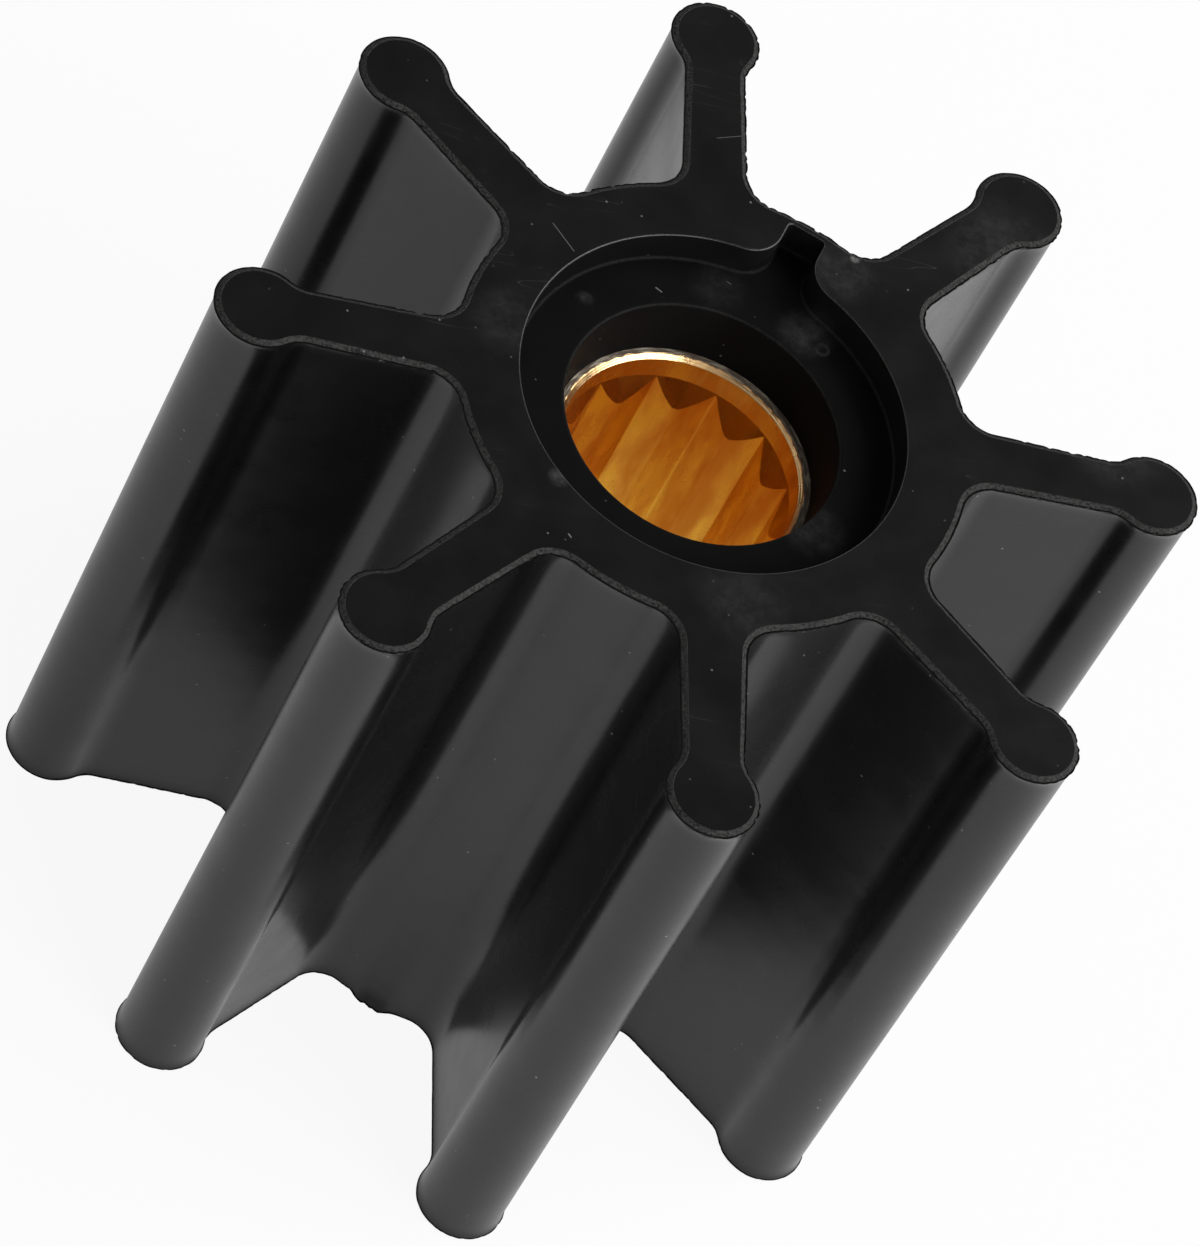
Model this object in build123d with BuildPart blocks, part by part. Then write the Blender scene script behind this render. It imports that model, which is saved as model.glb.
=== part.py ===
from build123d import *
import math
import os

# Flexible-blade pump impeller: a moulded rubber body bonded round a splined brass bushing.
# Millimetres. +Z runs along the shaft axis and the origin is the centre of the lower end face.
# The two ends are alike, with their notches on opposite sides, so the part fits either way up.

# Rubber body, overall
body_length = 50.8
tip_diameter = 65.0             # over the blade tips, inside the flash lips
hub_diameter = 33.9

# Blades: a flat web that thins slightly outwards and ends in a round bead
blade_count = 8
blade_root_thickness = 4.2      # where the web leaves the hub
blade_tip_thickness = 3.7       # where it reaches the bead's centre
bead_diameter = 5.8
bead_neck_radius = 2.5          # fillet between bead and web
blade_root_radius = 2.5         # fillet between web and hub

# Parting lips at both ends: the sides flare out to a thin edge, then bevel in to the end face
lip_height = 1.2
lip_flare = 0.18
bevel_height = 0.3
bevel_width = 0.34

# Round recess in each end face, and the notch that opens from it
recess_diameter = 25.7
recess_depth = 2.4
notch_width = 2.6
notch_side_length = 1.53        # flat part of the notch's side, beyond its rounded mouth
notch_web_thickness = 0.55      # thin wall that closes the notch's outer end
notch_angle = 67.5              # at the upper end, from +X; at the lower end it is opposite

# Gate marks that the mould leaves on the upper recess floor
gate_mark_count = 4
gate_mark_diameter = 1.4
gate_mark_height = 0.2
gate_mark_circle_diameter = 22.5
gate_mark_angle = 45.0

# Rubber bore from the recess floor to the bushing, drafted for its core pin
bore_mouth_diameter = 18.3
bore_seat_diameter = 17.4
bushing_setback = 6.55          # from the body's end face to the bushing's end

# Splined bushing
bushing_diameter = 19.0
spline_count = 12
spline_major_diameter = 15.86   # over the groove roots
spline_minor_diameter = 14.8    # across the tooth crests
groove_half_angle = 67.0        # from a groove's mid-plane to its side
mouth_diameter = 16.0
mouth_depth = 1.9
mouth_chamfer = 0.3
lead_in_length = 2.35           # taper from the groove roots in to the tooth crests

# Worked out from the sizes above
bead_centre_radius = (tip_diameter - bead_diameter) / 2
flare_angle = math.degrees(math.atan(lip_flare / (lip_height - bevel_height)))
bevel_angle = math.degrees(math.atan(bevel_width / bevel_height))
notch_reach = hub_diameter / 2 - notch_web_thickness


def mouth_radius():
    # Radius that is tangent to the recess and to the notch's side, where the side's flat part starts
    tangent_distance = notch_reach - notch_side_length
    recess_radius = recess_diameter / 2
    half_width = notch_width / 2
    rise = tangent_distance**2 - recess_radius**2 + half_width**2
    return rise / (2 * (recess_radius - half_width))


def axis_distance(vertex):
    return math.hypot(vertex.X, vertex.Y)


def web_half_thickness(radius):
    # Half of the web's thickness: a straight line from the hub to the bead's centre
    share = (radius - hub_diameter / 2) / (bead_centre_radius - hub_diameter / 2)
    return (blade_root_thickness + (blade_tip_thickness - blade_root_thickness) * share) / 2


def body_outline():
    # Section of the hub and blades, square to the axis
    web_start = hub_diameter / 4
    root_half = web_half_thickness(web_start)
    tip_half = web_half_thickness(bead_centre_radius)
    web = [
        (web_start, -root_half),
        (bead_centre_radius, -tip_half),
        (bead_centre_radius, tip_half),
        (web_start, root_half),
    ]
    with BuildSketch() as outline:
        Circle(hub_diameter / 2)
        with PolarLocations(0, blade_count):
            Polygon(*web, align=None)
        with PolarLocations(bead_centre_radius, blade_count):
            Circle(bead_diameter / 2)
        necks = outline.vertices().filter_by(
            lambda v: hub_diameter / 2 + 0.1 < axis_distance(v) < bead_centre_radius
        )
        fillet(necks, bead_neck_radius)
        roots = outline.vertices().filter_by(lambda v: abs(axis_distance(v) - hub_diameter / 2) < 0.01)
        fillet(roots, blade_root_radius)
    return outline.sketch


def recess_outline():
    # Round recess with its notch along +X, and the notch's rounded mouth
    with BuildSketch() as recess:
        Circle(recess_diameter / 2)
        Rectangle(notch_reach, notch_width, align=(Align.MIN, Align.CENTER))
        corners = recess.vertices().filter_by(
            lambda v: abs(axis_distance(v) - recess_diameter / 2) < 0.01
        )
        fillet(corners, mouth_radius())
    return recess.sketch


def end_plane(upper, angle=0.0):
    # Plane of an end face, looking outwards, with its X axis turned to the angle
    return Plane(
        origin=(0, 0, body_length if upper else 0),
        x_dir=(math.cos(math.radians(angle)), math.sin(math.radians(angle)), 0),
        z_dir=(0, 0, 1 if upper else -1),
    )


def mirrored_heights(profile):
    # A half profile of (radius, height above the lower face) points, closed over the upper half
    return profile + [(radius, body_length - height) for radius, height in reversed(profile)]


# Rubber body
outline = body_outline()
recess = recess_outline()
with BuildPart() as rubber_body:
    # Straight-sided middle
    with BuildSketch(Plane.XY.offset(lip_height)):
        add(outline)
    extrude(amount=body_length - 2 * lip_height)

    for upper in (True, False):
        # Flared lip
        with BuildSketch(end_plane(upper).offset(-lip_height)):
            add(outline)
        extrude(amount=lip_height - bevel_height, taper=-flare_angle)
        # Bevel from the lip's edge to the end face
        with BuildSketch(end_plane(upper).offset(-bevel_height)):
            add(outline)
            offset(amount=lip_flare)
        extrude(amount=bevel_height, taper=bevel_angle)

    # Recess and notch in each end
    for upper, angle in ((True, notch_angle), (False, notch_angle + 180)):
        with BuildSketch(end_plane(upper, angle)):
            add(recess)
        extrude(amount=-recess_depth, mode=Mode.SUBTRACT)

    # Gate marks on the upper recess floor
    with BuildSketch(end_plane(True).offset(-recess_depth)):
        with PolarLocations(gate_mark_circle_diameter / 2, gate_mark_count, start_angle=gate_mark_angle):
            Circle(gate_mark_diameter / 2)
    extrude(amount=gate_mark_height)

    # Drafted bore at both ends, and the seat moulded round the bushing
    with BuildSketch(Plane.XZ):
        bore = mirrored_heights([
            (0, recess_depth),
            (bore_mouth_diameter / 2, recess_depth),
            (bore_seat_diameter / 2, bushing_setback),
            (bushing_diameter / 2, bushing_setback),
        ])
        Polygon(*bore, align=None)
    revolve(axis=Axis.Z, mode=Mode.SUBTRACT)
rubber_body.part.label = "rubber_body"

# Splined bushing
with BuildPart() as splined_bushing:
    # Turned blank: rim chamfer, smooth mouth, tapered lead-in and the bore across the tooth crests
    mouth_end = bushing_setback + mouth_depth
    with BuildSketch(Plane.XZ):
        section = mirrored_heights([
            (bushing_diameter / 2, bushing_setback),
            (mouth_diameter / 2 + mouth_chamfer, bushing_setback),
            (mouth_diameter / 2, bushing_setback + mouth_chamfer),
            (mouth_diameter / 2, mouth_end),
            (spline_major_diameter / 2, mouth_end),
            (spline_minor_diameter / 2, mouth_end + lead_in_length),
        ])
        Polygon(*section, align=None)
    revolve(axis=Axis.Z)

    # Broached grooves, one of them in line with the upper notch
    half_pitch = math.pi / spline_count
    side_angle = math.radians(groove_half_angle)
    ridge_radius = spline_major_diameter / 2 * math.sin(side_angle) / math.sin(side_angle + half_pitch)
    star = []
    for tooth in range(spline_count):
        root_angle = 2 * half_pitch * tooth
        star.append((spline_major_diameter / 2, root_angle))
        star.append((ridge_radius, root_angle + half_pitch))
    with BuildSketch(end_plane(True, notch_angle)):
        Polygon(*[(r * math.cos(a), r * math.sin(a)) for r, a in star], align=None)
    extrude(amount=-body_length, mode=Mode.SUBTRACT)
splined_bushing.part.label = "splined_bushing"

os.makedirs("parts", exist_ok=True)
export_step(rubber_body.part, "parts/rubber_body.step")
export_step(splined_bushing.part, "parts/splined_bushing.step")
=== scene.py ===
import math

import bmesh
import bpy
import numpy as np
from mathutils import Matrix, Vector


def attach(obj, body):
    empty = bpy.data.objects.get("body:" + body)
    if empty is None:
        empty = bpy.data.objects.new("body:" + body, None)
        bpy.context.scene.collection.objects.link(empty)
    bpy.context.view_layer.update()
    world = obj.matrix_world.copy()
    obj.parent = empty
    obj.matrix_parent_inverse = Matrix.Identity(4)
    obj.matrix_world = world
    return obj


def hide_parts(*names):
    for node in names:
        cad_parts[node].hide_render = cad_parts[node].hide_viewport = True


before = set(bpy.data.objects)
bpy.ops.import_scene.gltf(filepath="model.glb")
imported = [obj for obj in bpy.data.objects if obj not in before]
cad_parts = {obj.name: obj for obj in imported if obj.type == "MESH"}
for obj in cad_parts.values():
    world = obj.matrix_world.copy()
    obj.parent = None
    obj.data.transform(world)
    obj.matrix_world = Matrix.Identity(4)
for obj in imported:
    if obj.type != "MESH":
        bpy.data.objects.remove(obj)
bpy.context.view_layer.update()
mm = 0.001
samplesPerArc = 120              # on a plan curve, before it is cut into equal lengths


rubberBody = {                   # in mm, unless it says otherwise
    "length": 50.8,
    "bladeCount": 8,
    "hubRadius": 16.95,
    "beadCentreRadius": 29.6,
    "beadRadius": 2.9,
    "webHalfAtHub": 2.1,
    "webHalfAtBead": 1.85,
    "neckRadius": 2.5,
    "rootRadius": 2.5,
    "pointsPerBlade": 200,
    "plainRings": (0.3, 0.5, 0.7),    # shares of the length between the two ends' profiles
    "recessRadius": 12.85,
    "recessDepth": 2.4,
    "notchHalfWidth": 1.3,
    "notchReach": 16.4,
    "notchMouthRadius": 2.5,
    "notchCornerRadius": 0.3,
    "notchAngle": 67.5,          # degrees from +X at the upper end, opposite at the lower
    "recessPoints": 512,
    "recessRim": 0.12,           # radius of the recess's top edge
    "rimPaintedHighlight": 0.4,              # how strongly a pale line, a painted highlight, is laid on it, from 0 to 1
    "rimStrip": 0.02,            # width of the level strip round it
    "floorFillet": 0.2,
    # how strongly the same painted highlight line is laid on the floor fillet
    "filletPaintedHighlight": 0.2,
    "roundRings": 6,             # rings on the rim and on the fillet
    "floorRings": (26, 5),       # at the upper end, which has gate marks, and at the lower
    "boreMouthRadius": 9.15,
    "boreLip": 0.15,             # how far outside the bore the floor ends
    "boreMouthRound": [          # distance outside the bore, depth below the floor, share of the painted highlight line
        (0.07, 0.03, 0.3), (0.02, 0.09, 0.3), (0.0, 0.18, 0.0),
    ],
    "boreSeatRadius": 8.7,
    "boreRings": 5,
    "boreRingsBelow": 0.8,       # depth below the floor of the first of them
    "bushingSetback": 6.55,
    "bushingRadius": 9.5,
    "gateCircleRadius": 11.25,
    "gateHeight": 0.1,
    "gateRadius": 0.5,
    "gateSoftness": 0.06,        # how gently a mark's edge falls away
    "gateDishRadius": 0.3,
    "gateMarks": [               # degrees from +X, share of the height, share of it dished away
        (45, 1.0, 1.0), (135, 1.0, 0.1), (315, 0.5, 0.3),
    ],
    "profile": [                 # offset from the side, depth below the end face, how torn
        (-0.30, 0.0, 0), (-0.29, 0.0, 0), (-0.28, 0.004, 0.5), (-0.12, 0.1, 0.5),
        (0.03, 0.2, 0.5), (0.06, 0.195, 0.8), (0.11, 0.175, 1), (0.16, 0.175, 1),
        (0.175, 0.2, 1), (0.175, 0.23, 1), (0.12, 0.28, 0.8), (0.09, 0.36, 0.25),
        (0.05, 0.55, 0), (0.02, 0.85, 0), (0.0, 1.25, 0), (0.0, 3.0, 0),
    ],
    "ledgeTorn": 0.5,            # how torn the worn ledge is; what is torn more is flash
    "flashReach": 0.18,          # how far the flash stands out from the side at most
    "flashSink": 0.03,           # how far it wavers up and down
    "edgeNibble": 0.02,          # how far the edges beside it waver in and out
    "tearDepths": (0.1, 0.03),   # at the upper and the lower end
    "tearSeeds": (3, 4),
    "nickDepth": 2.2,            # how deep a nick is, times the tear depth
    "crumbleDepth": 0.6,         # and how deep the fine roughness is
    "nickFrom": 0.1,             # how high the nick wave is where a nick starts
    "nickSpan": 0.7,             # and how much higher where it is full
    "runGain": 1.6,              # how quickly a run of nicks swells with its wave
    "runMiddle": 0.5,            # how strong it is where its wave is 0
    "runLeast": 0.12,            # and at its weakest
    "nickWave": ((211, 263, 377, 422, 511, 587), (5, 9)),    # cycles, and the two ends' seeds
    "runWave": ((5, 9, 14, 23), (13, 13)),
    "nibbleWave": ((241, 333, 409, 523, 611), (7, 11)),
    "levelWave": ((61, 83, 127, 173), (6, 10)),
    "lumpAngle": 247.5,          # degrees from +X of the lump outside the lower notch
    "lumpHeight": 2.6,
    "lumpSpread": 1.35,
    "lumpBulge": 0.5,            # how far the thin web is pushed out there
    "lumpFade": 1.5,             # power of the share of its height by which it fades
    "lumpWaver": (0.25, 0.3),    # shares of the nibble and the level wave in it
    "lumpGrain": 0.05,
    "lumpGrainBelow": 0.3,       # depth where the grain starts
    "lumpTorn": 0.75,            # how torn it is
    "lumpTornGain": 2.2,         # that fades only once this times the lump's fade is under 1
    "lumpSeed": 12,
    "sharpAngle": 32,            # degrees between faces past which an edge is sharp
}


def unit(angle):
    # (cos a, sin a)
    return np.stack([np.cos(angle), np.sin(angle)], -1)


def turned(vectors, degrees):
    # x cos a - y sin a, x sin a + y cos a
    a = math.radians(degrees)
    return vectors @ np.array([[math.cos(a), math.sin(a)], [-math.sin(a), math.cos(a)]])


def arcWithNormals(centre, radius, start, end, side):
    # centre + radius (cos a, sin a) for a from start to end; the normal is (cos a, sin a) times side
    a = np.linspace(start, end, samplesPerArc)
    return np.asarray(centre) + radius * unit(a), side * unit(a)


def resampled(points, normals, count):
    # closed curve cut into equal lengths; place and normal are interpolated by arc length, and
    # doubled points are left out
    p = np.vstack([points, points[:1]])
    n = np.vstack([normals, normals[:1]])
    run = np.concatenate([[0], np.cumsum(np.hypot(*np.diff(p, axis=0).T))])
    keep = np.concatenate([[True], np.diff(run) > 1e-9])
    at = np.arange(count) / count * run[-1]
    place = np.stack([np.interp(at, run[keep], p[keep, i]) for i in (0, 1)], -1)
    normal = np.stack([np.interp(at, run[keep], n[keep, i]) for i in (0, 1)], -1)
    return place, normal / np.linalg.norm(normal, axis=1, keepdims=True), at


def mirrored(parts):
    # the parts of a half curve joined up, run backwards below the X axis, then forwards above it
    points, normals = [np.vstack(part) for part in zip(*parts)]
    flip = np.array([1, -1])
    return (np.vstack([points[::-1] * flip, points[1:]]),
            np.vstack([normals[::-1] * flip, normals[1:]]))


def bladeOutline(sizes):
    # bead arc, neck fillet, straight flank, root fillet and hub arc for half a blade,
    # mirrored over the blade's axis and turned round the hub once for each blade
    hubRadius, beadRadius = sizes["hubRadius"], sizes["beadRadius"]
    neckRadius, rootRadius = sizes["neckRadius"], sizes["rootRadius"]
    start = np.array([hubRadius, sizes["webHalfAtHub"]])
    bead = np.array([sizes["beadCentreRadius"], 0.0])
    along = np.array([sizes["beadCentreRadius"], sizes["webHalfAtBead"]]) - start
    along = along / np.linalg.norm(along)
    out = np.array([-along[1], along[0]])
    # neck centre: neckRadius off the flank and beadRadius + neckRadius from the bead's centre
    p = start + out * neckRadius - bead
    k = p @ along
    reach = (beadRadius + neckRadius) ** 2
    neck = p + bead + along * (-k - math.sqrt(k * k - p @ p + reach))
    # root centre: rootRadius off the flank and hubRadius + rootRadius from the axis
    p = start + out * rootRadius
    k = p @ along
    reach = (hubRadius + rootRadius) ** 2
    root = p + along * (-k + math.sqrt(k * k - p @ p + reach))
    beadEnd = math.atan2(*(neck - bead)[::-1])
    neckStart = math.atan2(*(bead - neck)[::-1])
    flankAngle = math.atan2(-out[1], -out[0])
    rootEnd = math.atan2(-root[1], -root[0])
    hubStart = math.atan2(*root[::-1])
    points, normals = mirrored([
        arcWithNormals(bead, beadRadius, 0, beadEnd, 1),
        arcWithNormals(neck, neckRadius, neckStart, flankAngle, -1),
        arcWithNormals(root, rootRadius, flankAngle, rootEnd, -1),
        arcWithNormals((0, 0), hubRadius, hubStart, math.pi / sizes["bladeCount"], 1),
    ])
    turn = np.arange(sizes["bladeCount"]) * 2 * math.pi / sizes["bladeCount"]
    spin = np.stack([unit(turn), np.stack([-np.sin(turn), np.cos(turn)], -1)], 1)
    points, normals = [np.einsum("pi,kij->kpj", blade[:-1], spin).reshape(-1, 2)
                       for blade in (points, normals)]
    return resampled(points, normals, sizes["pointsPerBlade"] * sizes["bladeCount"])


def recessLoop(sizes):
    # half of the notch's end, its corner, its side, the rounded mouth and half of the round recess,
    # mirrored over the notch's axis, which lies along +X here
    half, reach, corner = sizes["notchHalfWidth"], sizes["notchReach"], sizes["notchCornerRadius"]
    mouth, radius = sizes["notchMouthRadius"], sizes["recessRadius"]
    centre = np.array([math.sqrt((radius + mouth) ** 2 - (half + mouth) ** 2), half + mouth])
    mouthEnd = math.atan2(-centre[1], -centre[0]) + 2 * math.pi
    across = np.linspace(0, half - corner, samplesPerArc)
    points, normals = mirrored([
        (np.stack([0 * across + reach, across], -1), np.stack([0 * across + 1, 0 * across], -1)),
        arcWithNormals((reach - corner, half - corner), corner, 0, math.pi / 2, 1),
        arcWithNormals(centre, mouth, 1.5 * math.pi, mouthEnd, -1),
        arcWithNormals((0, 0), radius, math.atan2(centre[1], centre[0]), math.pi, 1),
    ])
    # one sample lies on the notch's axis, so the two ends' loops meet when turned half round
    middle = len(points) // 2
    points, normals = np.roll(points, -middle, 0), np.roll(normals, -middle, 0)
    return resampled(points, normals, sizes["recessPoints"])[:2]


def waves(position, length, cycles, seed):
    # sum of sines of random strengths, with whole cycles along a closed curve, so that it joins;
    # about -1 to 1
    rng = np.random.default_rng(seed)
    phase = rng.uniform(0, 2 * math.pi, len(cycles))
    size = rng.uniform(0.4, 1.0, len(cycles))
    angle = 2 * math.pi * position[:, None] / length * np.asarray(cycles) + phase
    return (np.sin(angle) * size).sum(1) / size.sum()


def edgeWaves(sizes, run, end):
    # how torn the flash is all round one end, as nicks that come in runs and a fine roughness, and
    # two waves of -1 to 1 that move the edges in and out and up and down
    nick, runs, nibble, level = [
        waves(run, run[-1] + run[1], sizes[name][0], sizes[name][1][end])
        for name in ("nickWave", "runWave", "nibbleWave", "levelWave")]
    nick = np.clip((nick - sizes["nickFrom"]) / sizes["nickSpan"], 0, 1)
    runs = np.clip(sizes["runGain"] * runs + sizes["runMiddle"], sizes["runLeast"], 1)
    crumble = np.random.default_rng(sizes["tearSeeds"][end]).uniform(0, 1, len(run))
    return runs * (sizes["nickDepth"] * nick + sizes["crumbleDepth"] * crumble), nibble, level


def sideRings(sizes):
    # the outline pushed along its normals by the profile at the upper end, then plain rings, then
    # the profile again at the lower end; the torn parts waver by sums of sines. with the rings go
    # how torn each point is and which rings lie on the torn edges
    points, normals, run = bladeOutline(sizes)
    rings, torn = [], []
    rough = np.random.default_rng(sizes["lumpSeed"])
    lumpPlace = unit(math.radians(sizes["lumpAngle"])) * sizes["hubRadius"]
    ledge = sizes["ledgeTorn"]
    for end, profile in enumerate((sizes["profile"], sizes["profile"][::-1])):
        tear, nibble, level = edgeWaves(sizes, run, end)
        for offset, depth, share in profile:
            flash = max(0.0, share - ledge) / (1 - ledge)
            beside = 0 < share <= ledge or depth == 0
            push = offset - flash * tear * sizes["tearDepths"][end]
            push = np.minimum(push + beside * nibble * sizes["edgeNibble"], sizes["flashReach"])
            xy = points + normals * push[:, None]
            z = depth + flash * level * sizes["flashSink"]
            tornHere = np.full(len(run), float(share))
            if end == 0:
                z = sizes["length"] - z
            else:
                # the thin web at the closed end of the lower notch is pushed out in a rough lump,
                # e^(-(distance / spread)^4), that fades upwards
                near = np.exp(-(((xy - lumpPlace) ** 2).sum(1) / sizes["lumpSpread"] ** 2) ** 2)
                fade = (1 - np.clip(depth / sizes["lumpHeight"], 0, 1)) ** sizes["lumpFade"]
                waver = 1 + sizes["lumpWaver"][0] * nibble + sizes["lumpWaver"][1] * level
                grain = rough.uniform(-sizes["lumpGrain"], sizes["lumpGrain"], len(run))
                lump = near * waver * sizes["lumpBulge"] * fade
                lump += near * np.sqrt(fade) * grain * (depth > sizes["lumpGrainBelow"])
                xy = xy + normals * lump[:, None]
                lumpTorn = np.clip(sizes["lumpTornGain"] * fade, 0, 1) * near * sizes["lumpTorn"]
                tornHere = np.maximum(share, lumpTorn)
            rings.append(np.column_stack([xy, z]))
            torn.append(tornHere)
        if end == 0:
            for share in sizes["plainRings"]:
                z = np.full(len(run), sizes["length"] * (1 - share))
                rings.append(np.column_stack([points, z]))
                torn.append(np.zeros(len(run)))
    shares = [share for offset, depth, share in sizes["profile"]]
    shares = np.array(shares + [0] * len(sizes["plainRings"]) + shares[::-1])
    return np.array(rings), np.array(torn), shares >= ledge


def gateMarks(sizes, xy):
    # height of the small gate marks on the recess floor, one of which came off flush: 1 / (1 + e^x)
    # gives a low disc with a soft edge, less e^(-d squared) for a dish in its middle
    angle, height, dished = np.array(sizes["gateMarks"]).T
    centres = unit(np.radians(angle)) * sizes["gateCircleRadius"]
    away = np.linalg.norm(xy[..., None, :] - centres, axis=-1)
    disc = 1 / (1 + np.exp((away - sizes["gateRadius"]) / sizes["gateSoftness"]))
    dish = np.exp(-(away / sizes["gateDishRadius"]) ** 2) * dished
    return ((disc - dish) * sizes["gateHeight"] * height).max(-1).clip(0)


def wallProfile(sizes):
    # a level strip, the rim's quarter circle and the floor fillet's quarter circle: distance
    # outside the recess's loop, depth below the end face and how strongly a pale highlight line is
    # painted on it
    rim, fillet, depth = sizes["recessRim"], sizes["floorFillet"], sizes["recessDepth"]
    a = np.linspace(0, math.pi / 2, sizes["roundRings"])
    inside = np.array([0] + [1] * (sizes["roundRings"] - 2) + [0])
    return np.vstack([
        [(rim + sizes["rimStrip"], 0, 0)],
        np.stack([rim * (1 - np.sin(a)), rim * (1 - np.cos(a)), sizes["rimPaintedHighlight"] * inside], -1),
        np.stack([-fillet * (1 - np.cos(a)), depth - fillet * (1 - np.sin(a)),
                  sizes["filletPaintedHighlight"] * inside], -1)])


def boreProfile(sizes):
    # the rounded mouth, the bore that tapers to the bushing's seat, and the seat: radius, depth
    # below the end face and how strongly a pale highlight line is painted on it
    mouth, floor, seat = sizes["boreMouthRadius"], sizes["recessDepth"], sizes["bushingSetback"]
    draft = (mouth - sizes["boreSeatRadius"]) / (seat - floor)
    depths = np.linspace(floor + sizes["boreRingsBelow"], seat, sizes["boreRings"])
    return ([(mouth + out, floor + down, paleWearAndPaintedHighlight) for out, down, paleWearAndPaintedHighlight in sizes["boreMouthRound"]]
            + [(mouth - draft * (h - floor), h, 0.0) for h in depths]
            + [(sizes["bushingRadius"], seat, 0.0)])


def innerRings(sizes):
    # recess wall, floor, bore and bushing seat as rings of the same point count: the loop pushed
    # along its normals down the wall, drawn in along radial lines over the floor, then round;
    # with each ring goes how strongly a pale highlight line is painted on its edge
    loop, normals = recessLoop(sizes)
    wall, bore = wallProfile(sizes), boreProfile(sizes)
    ends, paintedHighlightShares = [], []
    for upper, floorRings in zip((True, False), sizes["floorRings"]):
        angle = sizes["notchAngle"] + (0 if upper else 180)
        p, n = turned(loop, angle), turned(normals, angle)
        if not upper:
            p, n = np.roll(p[::-1], 1, 0), np.roll(n[::-1], 1, 0)
        rings = [np.column_stack([p + n * d, np.full(len(p), h)]) for d, h, paleWearAndPaintedHighlight in wall]
        edge = rings[-1][:, :2]
        ray = edge / np.linalg.norm(edge, axis=1, keepdims=True)
        lip = ray * (sizes["boreMouthRadius"] + sizes["boreLip"])
        floor = edge + (lip - edge) * np.linspace(0, 1, floorRings)[1:, None, None]
        height = gateMarks(sizes, floor) if upper else np.zeros(floor.shape[:2])
        rings += [np.column_stack([q, sizes["recessDepth"] - h]) for q, h in zip(floor, height)]
        rings += [np.column_stack([ray * r, np.full(len(p), h)]) for r, h, paleWearAndPaintedHighlight in bore]
        rings = np.array(rings)
        if upper:
            rings[..., 2] = sizes["length"] - rings[..., 2]
        ends.append(rings)
        paintedHighlightShares.append(list(wall[:, 2]) + [0.0] * len(floor) + [paleWearAndPaintedHighlight for r, h, paleWearAndPaintedHighlight in bore])
    upperEnd, lowerEnd = ends
    # the lower end is turned to run the same way round, and half a turn on
    lowerEnd = np.roll(lowerEnd[:, ::-1], 1, 1)
    lowerEnd = np.roll(lowerEnd, sizes["recessPoints"] // 2, 1)
    paleWearAndPaintedHighlight = np.array(paintedHighlightShares[0] + paintedHighlightShares[1][::-1])
    return np.concatenate([upperEnd, lowerEnd[::-1]]), np.repeat(paleWearAndPaintedHighlight[:, None], sizes["recessPoints"], 1)


def gridFaces(rows, columns, start, flip):
    # quads between neighbouring rings, closed round the ring
    r, c = np.meshgrid(np.arange(rows - 1), np.arange(columns), indexing="ij")
    nextColumn = (c + 1) % columns
    quads = np.stack([r * columns + c, r * columns + nextColumn,
                      (r + 1) * columns + nextColumn, (r + 1) * columns + c], -1).reshape(-1, 4)
    return start + (quads[:, ::-1] if flip else quads)


def closeMesh(mesh, ends=()):
    # a flat face fills the gap between the rims at each of these heights, and all faces are
    # turned outwards
    shell = bmesh.new()
    shell.from_mesh(mesh)
    sameHeight = 0.001 * mm
    for z, up in ends:
        rim = [e for e in shell.edges if e.is_boundary and abs(e.verts[0].co.z - z) < sameHeight]
        bmesh.ops.triangle_fill(shell, use_beauty=True, edges=rim, normal=(0, 0, up))
    bmesh.ops.recalc_face_normals(shell, faces=shell.faces[:])
    print(mesh.name, "open edges:", sum(e.is_boundary for e in shell.edges), "faces:", len(shell.faces))
    shell.to_mesh(mesh)
    shell.free()


def addObject(name, data):
    # a new object in the scene that holds this mesh, lamp or camera
    holder = bpy.data.objects.new(name, data)
    bpy.context.scene.collection.objects.link(holder)
    return holder


def makeRubberBody(sizes):
    # the side's rings and the recesses' and bore's rings as two grids, and a flat face at each end
    # filled between them
    outer, torn, onEdge = sideRings(sizes)
    inner, paleWearAndPaintedHighlight = innerRings(sizes)
    vertices = np.vstack([outer.reshape(-1, 3), inner.reshape(-1, 3)]) * mm
    outerFaces = gridFaces(*torn.shape, 0, True)
    innerFaces = gridFaces(*paleWearAndPaintedHighlight.shape, torn.size, False)
    faces = np.vstack([outerFaces, innerFaces])
    mesh = bpy.data.meshes.new("rubberBody")
    mesh.from_pydata(vertices.tolist(), [], faces.tolist())
    # the ledge inside the flash is worn pale; the recess's edges and the bore's mouth get that pale line
    # as a painted highlight
    ledge = np.isclose(torn, sizes["ledgeTorn"]) * 1.0
    for name, values in (("torn", np.concatenate([torn.ravel(), 0 * paleWearAndPaintedHighlight.ravel()])),
                         ("paleWearAndPaintedHighlight", np.concatenate([ledge.ravel(), paleWearAndPaintedHighlight.ravel()]))):
        mesh.attributes.new(name, "FLOAT", "POINT").data.foreach_set("value", values)
    closeMesh(mesh, ((sizes["length"] * mm, 1), (0.0, -1)))
    # the recesses and the bore take the second material, all but their glossy rims, and the torn
    # edges the third
    rimFaces = sizes["roundRings"] * sizes["recessPoints"]
    index = np.zeros(len(mesh.polygons), dtype=np.int32)
    index[:len(outerFaces)] = np.repeat(onEdge[:-1] & onEdge[1:], outer.shape[1]) * 2
    index[len(outerFaces) + rimFaces:len(faces) - rimFaces] = 1
    mesh.polygons.foreach_set("material_index", index)
    mesh.shade_smooth()
    mesh.set_sharp_from_angle(angle=math.radians(sizes["sharpAngle"]))
    piece = addObject("mouldedRubberBody", mesh)
    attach(piece, "root")
    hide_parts("rubber_body")
    return piece


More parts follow.
